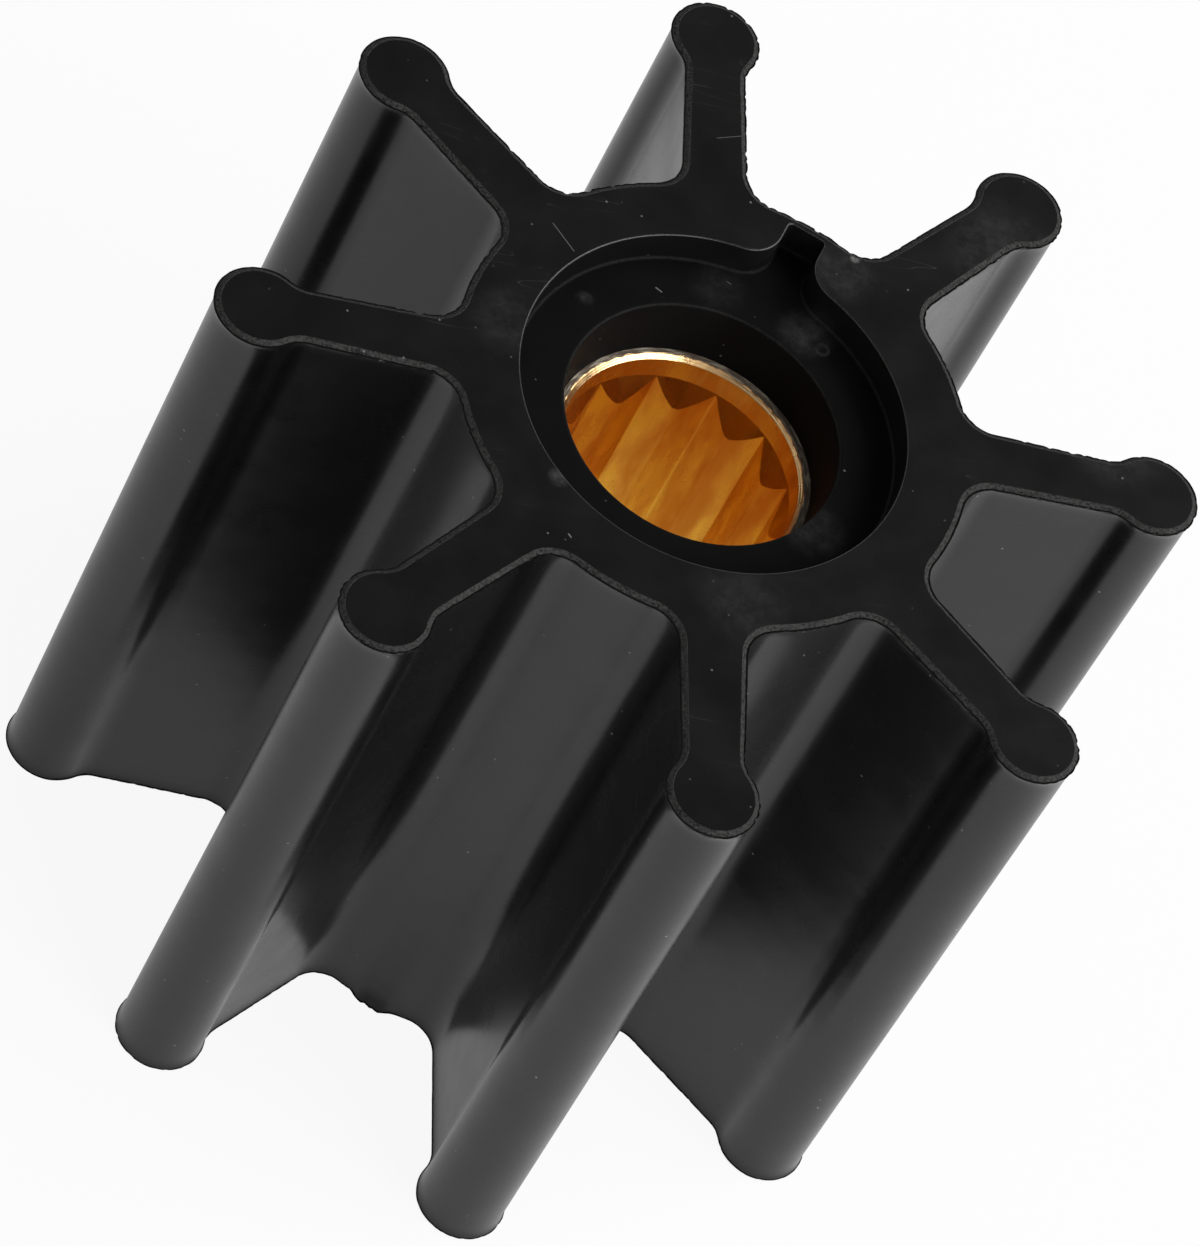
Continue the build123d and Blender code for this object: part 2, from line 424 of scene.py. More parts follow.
splinedBushing = {               # in mm, unless it says otherwise
    "top": rubberBody["length"] - rubberBody["bushingSetback"],
    "bottom": rubberBody["bushingSetback"],
    "outerRadius": rubberBody["bushingRadius"],
    "mouthRadius": 8.0,
    "mouthChamfer": 0.3,
    "mouthDepth": 1.9,
    "edgeRings": (0.01, 0.012, 0.02),    # steps between the rings that keep the chamfer crisp
    "faceRings": (0.7, 0.35),    # how far the end face's rings lie outside the chamfer
    "grooveCount": 12,
    "rootRadius": 7.93,
    "crestRadius": 7.4,
    "leadIn": 2.35,
    "leadInRings": 8,
    "sideFrom": 0.04,            # depth below the lead-in where the side's rings start
    "sideRings": (0.05, 0.3, 0.65),    # shares of the way from the lead-in to mid length
    "grooveHalfAngle": 67.0,     # degrees between a groove's side and the radius to its root
    "rootRound": 0.5,            # half the width of the rounding at each root, in degrees
    "grooveAngle": 67.5,         # degrees from +X of one groove's root
    "columnsPerGroove": 40,
    "sharpAngle": 7,             # degrees between faces past which an edge is sharp
}


def makeSplinedBushing(sizes):
    # each column is the profile of one direction round the axis: end face, chamfer, mouth wall, then
    # the lead-in cone down to where it meets the groove's side, and the side itself. a side is a
    # straight line in plan, so its radius is root sin(h) / sin(h + u), where u is the angle from the
    # root, rounded as the square root of u squared + w squared; columns crowd in near each root
    grooves, columns = sizes["grooveCount"], sizes["columnsPerGroove"]
    root, mouth, mouthDepth = sizes["rootRadius"], sizes["mouthRadius"], sizes["mouthDepth"]
    pitch = 2 * math.pi / grooves
    spread = np.arange(columns) / columns * 2 - 1
    fromRoot = pitch / 2 * np.sign(spread) * np.abs(spread) ** 2
    turn = (np.arange(grooves)[:, None] * pitch + fromRoot).ravel()
    fromRoot = np.tile(np.hypot(fromRoot, math.radians(sizes["rootRound"])), grooves)
    half = math.radians(sizes["grooveHalfAngle"])
    side = np.maximum(root * math.sin(half) / np.sin(half + fromRoot), sizes["crestRadius"])
    coneSlope = (root - sizes["crestRadius"]) / sizes["leadIn"]
    meet = mouthDepth + (root - side) / coneSlope
    middle = (sizes["top"] - sizes["bottom"]) / 2
    chamfer = sizes["mouthChamfer"]
    inner, near, far = sizes["edgeRings"]
    rows = [(sizes["outerRadius"], middle), (sizes["outerRadius"], 0)]
    rows += [(mouth + chamfer + out, 0) for out in (*sizes["faceRings"], far)]
    rows += [(mouth + chamfer - inner, near), (mouth + near, chamfer - near),
             (mouth, chamfer + far), (root, mouthDepth)]
    for share in np.linspace(0, 1, sizes["leadInRings"] + 1)[1:]:
        depth = mouthDepth + (meet - mouthDepth) * share
        rows.append((np.maximum(root - (depth - mouthDepth) * coneSlope, side), depth))
    rows += [(side, meet + sizes["sideFrom"] + (middle - meet) * share)
             for share in sizes["sideRings"]]
    radius, depth = [np.array([np.broadcast_to(value, len(turn)) for value in values])
                     for values in zip(*rows)]
    # the two halves share the row at mid length on the outside, which closes the shell
    radius = np.concatenate([radius, radius[::-1]])[:-1]
    z = np.concatenate([sizes["top"] - depth, sizes["bottom"] + depth[::-1]])[:-1]
    angle = turn + math.radians(sizes["grooveAngle"])
    vertices = np.stack([radius * np.cos(angle), radius * np.sin(angle), z], -1).reshape(-1, 3) * mm
    faces = gridFaces(len(radius) + 1, len(turn), 0, False) % len(vertices)
    mesh = bpy.data.meshes.new("splinedBushing")
    mesh.from_pydata(vertices.tolist(), [], faces.tolist())
    closeMesh(mesh)
    mesh.shade_smooth()
    mesh.set_sharp_from_angle(angle=math.radians(sizes["sharpAngle"]))
    piece = addObject("broachedBrassBushing", mesh)
    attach(piece, "root")
    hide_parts("splined_bushing")
    return piece


def linear(hexColour):
    # sRGB hex to linear red, green, blue and 1
    parts = [int(hexColour[i:i + 2], 16) / 255 for i in (1, 3, 5)]
    return [v / 12.92 if v <= 0.04045 else ((v + 0.055) / 1.055) ** 2.4 for v in parts] + [1]


def emptyTree(owner):
    # the cleared node tree of a material or a world
    owner.use_nodes = True
    owner.node_tree.nodes.clear()
    return owner.node_tree


def addNode(tree, kind, inputs=None, **settings):
    # a shader node of this kind; inputs hold either a value or an output socket to link from
    node = tree.nodes.new("ShaderNode" + kind)
    for name, value in settings.items():
        setattr(node, name, value)
    for name, value in (inputs or {}).items():
        if isinstance(value, bpy.types.NodeSocket):
            tree.links.new(value, node.inputs[name])
        else:
            node.inputs[name].default_value = value
    return node


endFace = rubberBody["length"]
recessFloor = endFace - rubberBody["recessDepth"]

rubberFinish = {
    "name": "mouldedNitrileRubber",
    "skin": "#040404",
    "skinWorn": "#090909",
    "tornEdge": "#070707",
    # pale grey: the worn ledge, and a painted highlight on the recesses' and bore's rounded edges
    "edgeWearAndPaintedHighlight": "#424241",
    "dust": "#868685",
    "mottleMm": 4.0,
    "streakMm": 0.35,            # apart up the sides
    "grainMm": 0.3,
    "grainDepthMm": 0.012,
    "shrinkMm": 4.5,
    "shrinkDepthMm": 0.15,
    "tearMm": 0.16,
    "tearDepthMm": 0.08,
    "dustCellMm": 1.2,
    "blotchMm": 0.9,
    "smoothest": 0.23,           # roughness where the skin is glossiest
    "specularLevel": 0.48,
    "hairScratches": 0.14,       # how strongly they show
    "hairMm": 1.3,
    "scratches": [               # start, end, height and half width in mm, and strength
        (-10.91, 11.38, -9.49, 9.51, endFace, 0.05, 0.4),
        (0.05, 21.25, 1.75, 21.87, endFace, 0.035, 0.4),
        (-9.52, -12.55, -9.36, -12.76, endFace, 0.06, 0.75),
    ],
    "smudges": [                 # place, ring radius, how far it spreads in mm, and strength
        (9.43, 13.8, endFace, 0, 0.45, 1.0),
        (-10.2, -8.4, endFace, 0, 0.9, 0.25),
        (8.5, 12.5, endFace, 0, 3.0, 0.1),
        (-13.5, 3.0, endFace, 0, 3.5, 0.07),
        (2.0, -15.0, endFace, 0, 4.0, 0.07),
        (19.5, 17.0, endFace, 0, 5.0, 0.1),
        (27.0, 3.0, endFace, 0, 4.0, 0.1),
    ],
}

# the recesses and the bore are dulled by mould release that stays on the rubber
dulledFinish = dict(
    rubberFinish,
    name="releaseDulledNitrileRubber",
    skin="#0f0f0f",
    skinWorn="#161616",
    smoothest=0.42,
    specularLevel=0.03,
    hairScratches=0,
    scratches=[
        (-3.2, 9.97, -2.82, 9.73, recessFloor, 0.06, 0.75),
        (1.6, 11.7, 1.85, 11.55, recessFloor, 0.04, 0.4),
    ],
    smudges=[
        (6.9, 8.8, recessFloor, 0, 2.3, 0.14),
        (8.01, 7.83, recessFloor, 0.42, 0.16, 0.16),
        (7.45, -6.6, recessFloor, 0, 2.6, 0.12),
        (-8.07, 7.96, recessFloor + 0.05, 0, 0.7, 0.16),
        (1.0, 11.0, recessFloor, 0, 2.5, 0.05),
    ],
)

# the flash and the ledge beside it are torn, not moulded, and have no gloss
tornFinish = dict(
    rubberFinish,
    name="tornNitrileRubber",
    skin="#0b0b0b",
    skinWorn="#151515",
    smoothest=0.7,
    specularLevel=0.12,
    hairScratches=0,
    scratches=[],
    smudges=[],
)


def dustMask(tree, place, finish):
    # a crumb at the middle of each cell, where that happens to lie in the skin, in the cells whose
    # random number is high, and paler the higher it is
    cells = addNode(tree, "TexVoronoi", {"Vector": place, "Scale": 1 / (finish["dustCellMm"] * mm)})
    random = addNode(tree, "SeparateColor", {"Color": cells.outputs["Color"]})
    crumb = addNode(tree, "MapRange", {"Value": cells.outputs["Distance"], "From Min": 0.04,
                                       "From Max": 0.085, "To Min": 1, "To Max": 0})
    kept = addNode(tree, "MapRange", {"Value": random.outputs[0], "From Min": 0.62, "From Max": 1.0})
    return addNode(tree, "Math", {0: crumb.outputs[0], 1: kept.outputs[0]},
                   operation="MULTIPLY").outputs[0]


def hairMask(tree, place, mottle, finish):
    # the thin ridge of a noise drawn out to ten times its width, only on faces that look straight up
    drawn = addNode(tree, "Mapping", {"Vector": place, "Rotation": (0, 0, 0.5), "Scale": (0.1, 1, 0.3)})
    hair = addNode(tree, "TexNoise", {"Vector": drawn.outputs[0],
                                      "Scale": 1 / (finish["hairMm"] * mm), "Detail": 1.0})
    ridge = addNode(tree, "Math", {0: hair.outputs["Fac"], 1: 0.5, 2: 0.0025}, operation="COMPARE")
    where = addNode(tree, "MapRange", {"Value": mottle, "From Min": 0.54, "From Max": 0.64,
                                       "To Max": finish["hairScratches"]})
    normal = addNode(tree, "NewGeometry").outputs["Normal"]
    slope = addNode(tree, "SeparateXYZ", {"Vector": normal})
    flat = addNode(tree, "Math", {0: slope.outputs["Z"], 1: 1.0, 2: 0.05}, operation="COMPARE")
    shown = addNode(tree, "Math", {0: ridge.outputs[0], 1: where.outputs[0]}, operation="MULTIPLY")
    return addNode(tree, "Math", {0: shown.outputs[0], 1: flat.outputs[0]},
                   operation="MULTIPLY").outputs[0]


def scratchMask(tree, place, scratch):
    # strength on a straight scratch or fleck, where the distance from the segment, found by sliding
    # along it by the clamped dot product, is less than the half width; its outer half is soft
    x0, y0, x1, y1, height, half = [v * mm for v in scratch[:6]]
    strength = scratch[6]
    run = Vector((x1 - x0, y1 - y0, 0))
    fromStart = addNode(tree, "VectorMath", {0: place, 1: (x0, y0, height)},
                        operation="SUBTRACT").outputs[0]
    along = addNode(tree, "VectorMath", {0: fromStart, 1: run / run.length_squared},
                    operation="DOT_PRODUCT").outputs["Value"]
    clamped = addNode(tree, "Clamp", {"Value": along}).outputs[0]
    nearest = addNode(tree, "VectorMath", {0: run, "Scale": clamped}, operation="SCALE").outputs[0]
    away = addNode(tree, "VectorMath", {0: fromStart, 1: nearest}, operation="DISTANCE")
    return addNode(tree, "MapRange", {"Value": away.outputs["Value"], "From Min": half * 0.5,
                                      "From Max": half, "To Min": strength, "To Max": 0}).outputs[0]


def smudgeMask(tree, place, blotch, smudge):
    # strength that fades out from the smudge's middle, or from a ring round it, broken up by noise
    x, y, z, hollow, size = [v * mm for v in smudge[:5]]
    strength = smudge[5]
    away = addNode(tree, "VectorMath", {0: place, 1: (x, y, z)}, operation="DISTANCE")
    away = addNode(tree, "Math", {0: away.outputs["Value"], 1: hollow}, operation="SUBTRACT")
    away = addNode(tree, "Math", {0: away.outputs[0]}, operation="ABSOLUTE")
    fade = addNode(tree, "MapRange", {"Value": away.outputs[0], "From Min": size * 0.3,
                                      "From Max": size, "To Min": strength, "To Max": 0},
                   interpolation_type="SMOOTHSTEP")
    return addNode(tree, "Math", {0: fade.outputs["Result"], 1: blotch},
                   operation="MULTIPLY").outputs[0]


def rubberMaterial(finish):
    # nitrile rubber, compression moulded in a polished steel tool: a deep black skin with a satin
    # gloss that turns pale at a grazing look; the trimmed edges are torn and rough with a line worn
    # grey, the same grey line is painted on the recesses' and bore's rounded edges as a highlight, and
    # stray dust, smudges and a few scratches lie on it
    material = bpy.data.materials.new(finish["name"])
    tree = emptyTree(material)
    place = addNode(tree, "TexCoord").outputs["Object"]
    torn = addNode(tree, "Attribute", attribute_name="torn").outputs["Fac"]
    # the pale line: wear on the ledge, a painted highlight on the inner rounded edges
    paleWearAndPaintedHighlight = addNode(tree, "Attribute", attribute_name="paleWearAndPaintedHighlight").outputs["Fac"]
    mottle = addNode(tree, "TexNoise", {"Vector": place, "Scale": 1 / (finish["mottleMm"] * mm),
                                        "Detail": 4.0}).outputs["Fac"]
    # level streaks left by the polishing of the tool
    level = addNode(tree, "Mapping", {"Vector": place, "Scale": (0.12, 0.12, 1)})
    streaks = addNode(tree, "TexNoise", {"Vector": level.outputs[0],
                                         "Scale": 1 / (finish["streakMm"] * mm), "Detail": 3.0})
    grain = addNode(tree, "TexNoise", {"Vector": place, "Scale": 1 / (finish["grainMm"] * mm),
                                       "Detail": 3.0})
    tears = addNode(tree, "TexNoise", {"Vector": place, "Scale": 1 / (finish["tearMm"] * mm),
                                       "Detail": 4.0, "Roughness": 0.7})
    blotches = addNode(tree, "TexNoise", {"Vector": place, "Scale": 1 / (finish["blotchMm"] * mm),
                                          "Detail": 5.0, "Roughness": 0.75})
    blotch = addNode(tree, "MapRange", {"Value": blotches.outputs["Fac"], "From Min": 0.4,
                                        "From Max": 0.66, "To Min": 0.3}).outputs["Result"]
    masks = [hairMask(tree, place, mottle, finish)] if finish["hairScratches"] else []
    masks += [scratchMask(tree, place, scratch) for scratch in finish["scratches"]]
    masks += [smudgeMask(tree, place, blotch, smudge) for smudge in finish["smudges"]]
    marks = dustMask(tree, place, finish)
    for mask in masks:
        marks = addNode(tree, "Math", {0: marks, 1: mask}, operation="MAXIMUM").outputs[0]
    skin = addNode(tree, "Mix", {"Factor": mottle, "A": linear(finish["skin"]),
                                 "B": linear(finish["skinWorn"])}, data_type="RGBA")
    edge = addNode(tree, "Mix", {"Factor": torn, "A": skin.outputs["Result"],
                                 "B": linear(finish["tornEdge"])}, data_type="RGBA")
    # the pale line, worn on the ledge and a painted highlight on the recesses' and bore's rounded edges,
    # is broken by the tear noise
    lineOfWearAndPaintedHighlight = addNode(tree, "MapRange", {"Value": tears.outputs["Fac"], "From Min": 0.35,
                                        "From Max": 0.6})
    lineOfWearAndPaintedHighlight = addNode(tree, "Math", {0: lineOfWearAndPaintedHighlight.outputs[0], 1: paleWearAndPaintedHighlight}, operation="MULTIPLY")
    edge = addNode(tree, "Mix", {"Factor": lineOfWearAndPaintedHighlight.outputs[0], "A": edge.outputs["Result"],
                                 "B": linear(finish["edgeWearAndPaintedHighlight"])}, data_type="RGBA")
    colour = addNode(tree, "Mix", {"Factor": marks, "A": edge.outputs["Result"],
                                   "B": linear(finish["dust"])}, data_type="RGBA")
    gloss = addNode(tree, "MapRange", {"Value": mottle, "From Min": 0.3, "From Max": 0.7,
                                       "To Min": finish["smoothest"],
                                       "To Max": finish["smoothest"] + 0.07})
    gloss = addNode(tree, "Math", {0: streaks.outputs["Fac"], 1: 0.02, 2: gloss.outputs[0]},
                    operation="MULTIPLY_ADD")
    rough = addNode(tree, "MapRange", {"Value": torn, "To Min": 0, "To Max": 0.85})
    gloss = addNode(tree, "Math", {0: gloss.outputs[0], 1: rough.outputs[0]}, operation="MAXIMUM")
    # the skin shrank unevenly in the tool, so reflections waver a little
    shrink = addNode(tree, "TexNoise", {"Vector": place, "Scale": 1 / (finish["shrinkMm"] * mm),
                                        "Detail": 1.0})
    bump = addNode(tree, "Bump", {"Strength": 0.25, "Distance": finish["shrinkDepthMm"] * mm,
                                  "Height": shrink.outputs["Fac"]})
    bump = addNode(tree, "Bump", {"Strength": 0.12, "Distance": finish["grainDepthMm"] * mm,
                                  "Height": grain.outputs["Fac"], "Normal": bump.outputs[0]})
    pits = addNode(tree, "Math", {0: tears.outputs["Fac"], 1: torn}, operation="MULTIPLY")
    bump = addNode(tree, "Bump", {"Strength": 0.6, "Distance": finish["tearDepthMm"] * mm,
                                  "Height": pits.outputs[0], "Normal": bump.outputs[0]})
    shader = addNode(tree, "BsdfPrincipled", {
        "Base Color": colour.outputs["Result"], "Roughness": gloss.outputs[0],
        "Normal": bump.outputs[0], "IOR": 1.5, "Specular IOR Level": finish["specularLevel"]})
    addNode(tree, "OutputMaterial", {"Surface": shader.outputs["BSDF"]})
    return material


brassFinish = {
    "metal": "#fbd67b",
    "oxide": "#eda741",
    "cutEdge": "#fdd196",
    "bondingAgent": "#66584a",
    # pale crumbs: torn rubber, and painted glints on the rough ring
    "tornRubberAndPaintedGlint": "#c4bba8",
    "endFace": splinedBushing["top"],    # mm above the floor
    "mouthDepth": splinedBushing["mouthDepth"],
    "mouthChamfer": splinedBushing["mouthChamfer"],
    "cutBelowMm": 0.01,          # how far below the chamfer the pale cut ends
    "blendMm": 0.05,             # over which one finish turns into the next
    "oxidePatchMm": 2.2,
    "turningPitchMm": 0.12,
    "broachStreakMm": 0.25,
    "broachDepthMm": 0.03,
    "residueFrom": 8.46,         # radius in mm where the bonding agent starts, before it is ragged
    "raggedMm": 0.7,
    "raggedDepthMm": 0.3,        # how far its edge wanders inwards
    "chamferLapMm": 0.1,         # how far it laps over the chamfer on the +X side
    "crumbMm": 0.2,
    "crumbDepthMm": 0.15,
    "smearMm": 1.4,              # radius of the ring that the crumbs' noise is read on
}


def residueMask(tree, place, split, radius, finish):
    # 1 past a radius on the end face, with a ragged inner edge; on the +X side it also laps over the
    # outer part of the chamfer
    ragged = addNode(tree, "TexNoise", {"Vector": place, "Scale": 1 / (finish["raggedMm"] * mm),
                                        "Detail": 5.0})
    lap = addNode(tree, "MapRange", {"Value": split.outputs["X"], "From Min": 0.5 * mm,
                                     "From Max": 5 * mm, "To Max": finish["chamferLapMm"] * mm})
    reach = addNode(tree, "Math", {0: radius, 1: lap.outputs["Result"]}, operation="ADD")
    edge = addNode(tree, "Math", {0: ragged.outputs["Fac"], 1: finish["raggedDepthMm"] * mm,
                                  2: reach.outputs[0]}, operation="MULTIPLY_ADD")
    height = addNode(tree, "Math", {0: split.outputs["Z"], 1: lap.outputs["Result"]}, operation="ADD")
    faceFrom = (finish["endFace"] - finish["blendMm"]) * mm
    onFace = addNode(tree, "Math", {0: height.outputs[0], 1: faceFrom}, operation="GREATER_THAN")
    residueTo = finish["residueFrom"] + finish["blendMm"]
    past = addNode(tree, "MapRange", {"Value": edge.outputs[0], "From Min": finish["residueFrom"] * mm,
                                      "From Max": residueTo * mm})
    return addNode(tree, "Math", {0: past.outputs["Result"], 1: onFace.outputs[0]},
                   operation="MULTIPLY").outputs[0]


def brassMaterial(finish):
    # leaded brass, turned at the mouth and broached along the grooves: pale warm metal that deepens
    # to orange down the bore, where it mirrors itself, fine tool lines, oxide in soft patches, and
    # on the end face a dull dark ring of bonding agent with pale crumbs in it, partly torn rubber and
    # partly painted glints
    material = bpy.data.materials.new("turnedBroachedBrass")
    tree = emptyTree(material)
    place = addNode(tree, "TexCoord").outputs["Object"]
    split = addNode(tree, "SeparateXYZ", {"Vector": place})
    height = split.outputs["Z"]
    flat = addNode(tree, "CombineXYZ", {"X": split.outputs["X"], "Y": split.outputs["Y"]})
    radius = addNode(tree, "VectorMath", {0: flat.outputs[0]}, operation="LENGTH").outputs["Value"]
    # oxide: soft patches a few millimetres wide, drawn out along the bore
    drawn = addNode(tree, "Mapping", {"Vector": place, "Scale": (1, 1, 0.25)})
    patches = addNode(tree, "TexNoise", {"Vector": drawn.outputs[0], "Detail": 3.0, "Roughness": 0.55,
                                         "Scale": 1 / (finish["oxidePatchMm"] * mm)})
    patch = addNode(tree, "MapRange", {"Value": patches.outputs["Fac"], "From Min": 0.4,
                                       "From Max": 0.62}).outputs["Result"]
    metal = addNode(tree, "Mix", {"Factor": patch, "A": linear(finish["metal"]),
                                  "B": linear(finish["oxide"])}, data_type="RGBA")
    # the chamfer at the mouth is cut clean and paler
    chamferFoot = (finish["endFace"] - finish["mouthChamfer"] - finish["cutBelowMm"]) * mm
    chamfer = addNode(tree, "Math", {0: height, 1: chamferFoot}, operation="GREATER_THAN")
    metal = addNode(tree, "Mix", {"Factor": chamfer.outputs[0], "A": metal.outputs["Result"],
                                  "B": linear(finish["cutEdge"])}, data_type="RGBA")
    # broach marks: fine lines along the bore
    streaky = addNode(tree, "Mapping", {"Vector": place, "Scale": (1, 1, 0.015)})
    streaks = addNode(tree, "TexNoise", {"Vector": streaky.outputs[0], "Detail": 3.0,
                                         "Scale": 1 / (finish["broachStreakMm"] * mm)})
    # turning marks: rings round the axis at the mouth, by height
    phase = addNode(tree, "Math", {0: height, 1: 2 * math.pi / (finish["turningPitchMm"] * mm)},
                    operation="MULTIPLY")
    rings = addNode(tree, "Math", {0: phase.outputs[0]}, operation="SINE")
    mouthFoot = finish["endFace"] - finish["mouthDepth"]
    mouth = addNode(tree, "MapRange", {"Value": height,
                                       "From Min": (mouthFoot - finish["blendMm"]) * mm,
                                       "From Max": (mouthFoot + finish["blendMm"]) * mm})
    turning = addNode(tree, "Math", {0: rings.outputs[0], 1: mouth.outputs["Result"]},
                      operation="MULTIPLY")
    lines = addNode(tree, "Math", {0: turning.outputs[0], 1: 0.25, 2: streaks.outputs["Fac"]},
                    operation="MULTIPLY_ADD")
    # crumbs smeared round the axis: the noise reads radius and a slow turn; the pale crumbs are partly
    # torn rubber and partly painted glints
    turn = addNode(tree, "VectorMath", {0: flat.outputs[0]}, operation="NORMALIZE")
    turn = addNode(tree, "VectorMath", {0: turn.outputs[0], "Scale": finish["smearMm"] * mm},
                   operation="SCALE")
    outwards = addNode(tree, "CombineXYZ", {"Z": radius})
    smear = addNode(tree, "VectorMath", {0: turn.outputs[0], 1: outwards.outputs[0]}, operation="ADD")
    crumbs = addNode(tree, "TexNoise", {"Vector": smear.outputs[0], "Detail": 5.0, "Roughness": 0.6,
                                        "Scale": 1 / (finish["crumbMm"] * mm)})
    crumb = addNode(tree, "MapRange", {"Value": crumbs.outputs["Fac"], "From Min": 0.48,
                                       "From Max": 0.7})
    agentWithPaintedGlint = addNode(tree, "Mix", {"Factor": crumb.outputs["Result"], "A": linear(finish["bondingAgent"]),
                                  "B": linear(finish["tornRubberAndPaintedGlint"])}, data_type="RGBA")
    residue = residueMask(tree, place, split, radius, finish)
    colour = addNode(tree, "Mix", {"Factor": residue, "A": metal.outputs["Result"],
                                   "B": agentWithPaintedGlint.outputs["Result"]}, data_type="RGBA")
    metallic = addNode(tree, "Math", {0: 1.0, 1: residue}, operation="SUBTRACT")
    rough = addNode(tree, "MapRange", {"Value": patch, "To Min": 0.22, "To Max": 0.38})
    dull = addNode(tree, "Math", {0: residue, 1: 0.75}, operation="MULTIPLY")
    rough = addNode(tree, "Math", {0: rough.outputs["Result"], 1: dull.outputs[0]},
                    operation="MAXIMUM")
    bump = addNode(tree, "Bump", {"Strength": 0.35, "Distance": finish["broachDepthMm"] * mm,
                                  "Height": lines.outputs[0]})
    pits = addNode(tree, "Math", {0: crumbs.outputs["Fac"], 1: residue}, operation="MULTIPLY")
    bump = addNode(tree, "Bump", {"Strength": 0.8, "Distance": finish["crumbDepthMm"] * mm,
                                  "Height": pits.outputs[0], "Normal": bump.outputs[0]})
    shader = addNode(tree, "BsdfPrincipled", {
        "Base Color": colour.outputs["Result"], "Metallic": metallic.outputs[0],
        "Roughness": rough.outputs[0], "Normal": bump.outputs[0]})
    addNode(tree, "OutputMaterial", {"Surface": shader.outputs["BSDF"]})
    return material


studio = {
    "floorHalf": 6.0,            # metres
    "floorColour": "#f8f8f8",
    "floorGlow": 0.92,           # share of plain white that the floor shows to the camera
    "glossGlow": 0.58,           # and in reflections
    "boreGlow": 0.75,            # and in reflections, through the bore
    "boreGlowMm": (12, 16),      # from the axis, where that fades into the share around it
    "zenith": 0.11,
    "horizon": 0.9,
    "fade": (0.38, 0.62),        # sines of the heights between which horizon turns to zenith
    "lampTarget": (0, 0, 0.02),
    "lamps": [                   # name, place and size in metres, and watts
        ("keySoftbox", (0.84, -0.64, 0.72), (1.3, 0.6), 13.0),
        ("sideSoftbox", (0.85, 0.3, 0.85), (0.7, 0.5), 5.0),
    ],
}


def makeFloor(setup):
    # a level square, white to the camera but for a share that keeps the object's shadow
    half = setup["floorHalf"]
    corners = [(-half, -half, 0), (half, -half, 0), (half, half, 0), (-half, half, 0)]
    mesh = bpy.data.meshes.new("studioFloor")
    mesh.from_pydata(corners, [], [(0, 1, 2, 3)])
    material = bpy.data.materials.new("palePaper")
    tree = emptyTree(material)
    paper = addNode(tree, "BsdfDiffuse", {"Color": linear(setup["floorColour"])})
    white = addNode(tree, "Emission", {"Color": (1, 1, 1, 1), "Strength": 1.0})
    path = addNode(tree, "LightPath")
    reflected = addNode(tree, "Math", {0: path.outputs["Is Glossy Ray"],
                                       1: path.outputs["Is Transmission Ray"]}, operation="MAXIMUM")
    # a painted pool of light: the paper is seen brighter in reflections through the bore, which shades
    # it less than the solid rubber does
    place = addNode(tree, "TexCoord").outputs["Object"]
    away = addNode(tree, "VectorMath", {0: place}, operation="LENGTH")
    inner, outer = setup["boreGlowMm"]
    glow = addNode(tree, "MapRange", {"Value": away.outputs["Value"], "From Min": inner * mm,
                                      "From Max": outer * mm, "To Min": setup["boreGlow"],
                                      "To Max": setup["glossGlow"]})
    share = addNode(tree, "Math", {0: reflected.outputs[0], 1: glow.outputs["Result"]},
                    operation="MULTIPLY")
    share = addNode(tree, "Math", {0: path.outputs["Is Camera Ray"], 1: setup["floorGlow"],
                                   2: share.outputs[0]}, operation="MULTIPLY_ADD")
    mix = addNode(tree, "MixShader", {0: share.outputs[0], 1: paper.outputs[0], 2: white.outputs[0]})
    addNode(tree, "OutputMaterial", {"Surface": mix.outputs[0]})
    mesh.materials.append(material)
    floor = addObject("studioFloor", mesh)


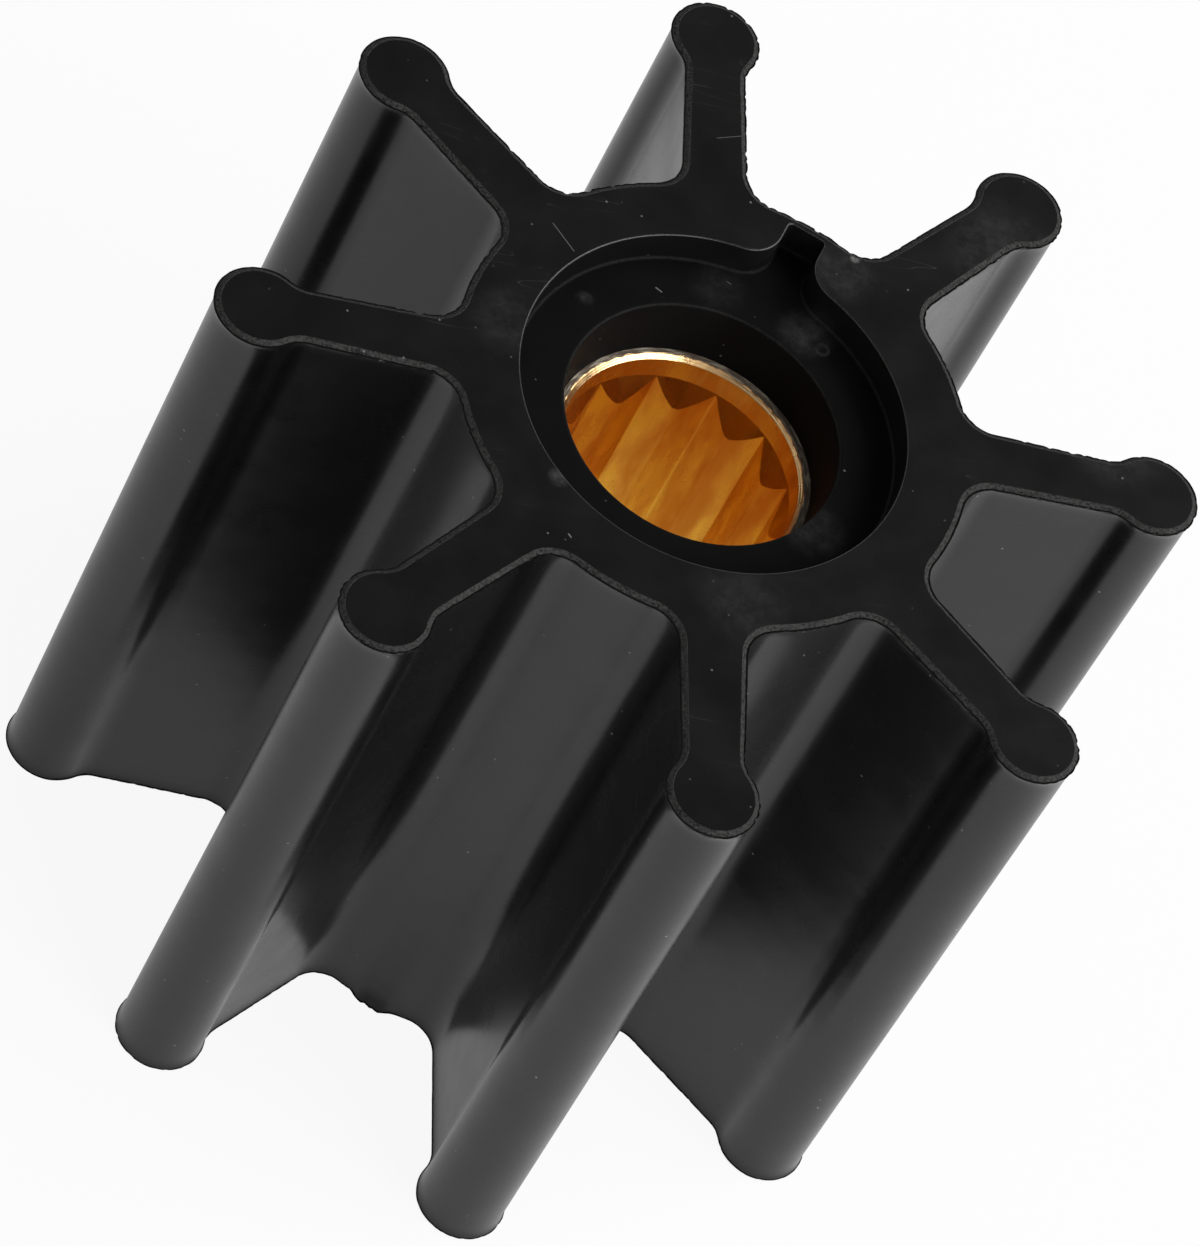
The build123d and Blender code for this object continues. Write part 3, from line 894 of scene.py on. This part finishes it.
def makeWorld(setup):
    # soft surround: bright round the horizon, dim overhead, and plain white to the camera
    world = bpy.data.worlds.new("softSurround")
    bpy.context.scene.world = world
    tree = emptyTree(world)
    direction = addNode(tree, "TexCoord").outputs["Generated"]
    height = addNode(tree, "SeparateXYZ", {"Vector": direction}).outputs["Z"]
    low, high = setup["fade"]
    level = addNode(tree, "MapRange", {"Value": height, "From Min": low, "From Max": high,
                                       "To Min": setup["horizon"], "To Max": setup["zenith"]},
                    interpolation_type="SMOOTHSTEP")
    path = addNode(tree, "LightPath")
    level = addNode(tree, "Mix", {"Factor": path.outputs["Is Camera Ray"],
                                  "A": level.outputs["Result"], "B": 1.0}, data_type="FLOAT")
    back = addNode(tree, "Background", {"Color": (1, 1, 1, 1), "Strength": level.outputs["Result"]})
    addNode(tree, "OutputWorld", {"Surface": back.outputs[0]})


def makeLamp(name, place, size, power, target):
    # a flat rectangle of light at place, turned so that its -Z runs to the target
    lamp = bpy.data.lights.new(name, "AREA")
    lamp.shape = "RECTANGLE"
    lamp.size, lamp.size_y = size
    lamp.energy = power
    holder = addObject(name, lamp)
    holder.location = place
    holder.rotation_euler = (Vector(target) - Vector(place)).to_track_quat("-Z", "Y").to_euler()


cameraSetup = {
    "place": (-0.117648, -0.269911, 0.388752),    # metres
    "look": (0.25326, 0.57706, -0.77644),
    "roll": 30.283,              # degrees
    "lens": 206.56,              # mm
    "filmHeight": 36.0,
    "clip": (0.01, 50),          # nearest and farthest that it sees, in metres
}


def makeCamera(setup):
    # level = look x Z and rise = level x look, both turned about look by the roll
    camera = bpy.data.cameras.new("studioCamera")
    camera.sensor_fit = "VERTICAL"
    camera.sensor_height = setup["filmHeight"]
    camera.lens = setup["lens"]
    camera.clip_start, camera.clip_end = setup["clip"]
    look = Vector(setup["look"]).normalized()
    level = look.cross(Vector((0, 0, 1))).normalized()
    rise = level.cross(look)
    roll = math.radians(setup["roll"])
    right = level * math.cos(roll) + rise * math.sin(roll)
    up = right.cross(look)
    turn = Matrix((right, up, -look)).transposed()
    holder = addObject("studioCamera", camera)
    holder.matrix_world = Matrix.Translation(setup["place"]) @ turn.to_4x4()
    bpy.context.scene.camera = holder


body = makeRubberBody(rubberBody)
for finish in (rubberFinish, dulledFinish, tornFinish):
    body.data.materials.append(rubberMaterial(finish))
print("rubber body made")

bushing = makeSplinedBushing(splinedBushing)
bushing.data.materials.append(brassMaterial(brassFinish))
print("bushing made")

makeFloor(studio)
makeWorld(studio)
for name, place, size, power in studio["lamps"]:
    makeLamp(name, place, size, power, studio["lampTarget"])
makeCamera(cameraSetup)
bpy.context.scene.view_settings.view_transform = "Standard"
print("studio ready")
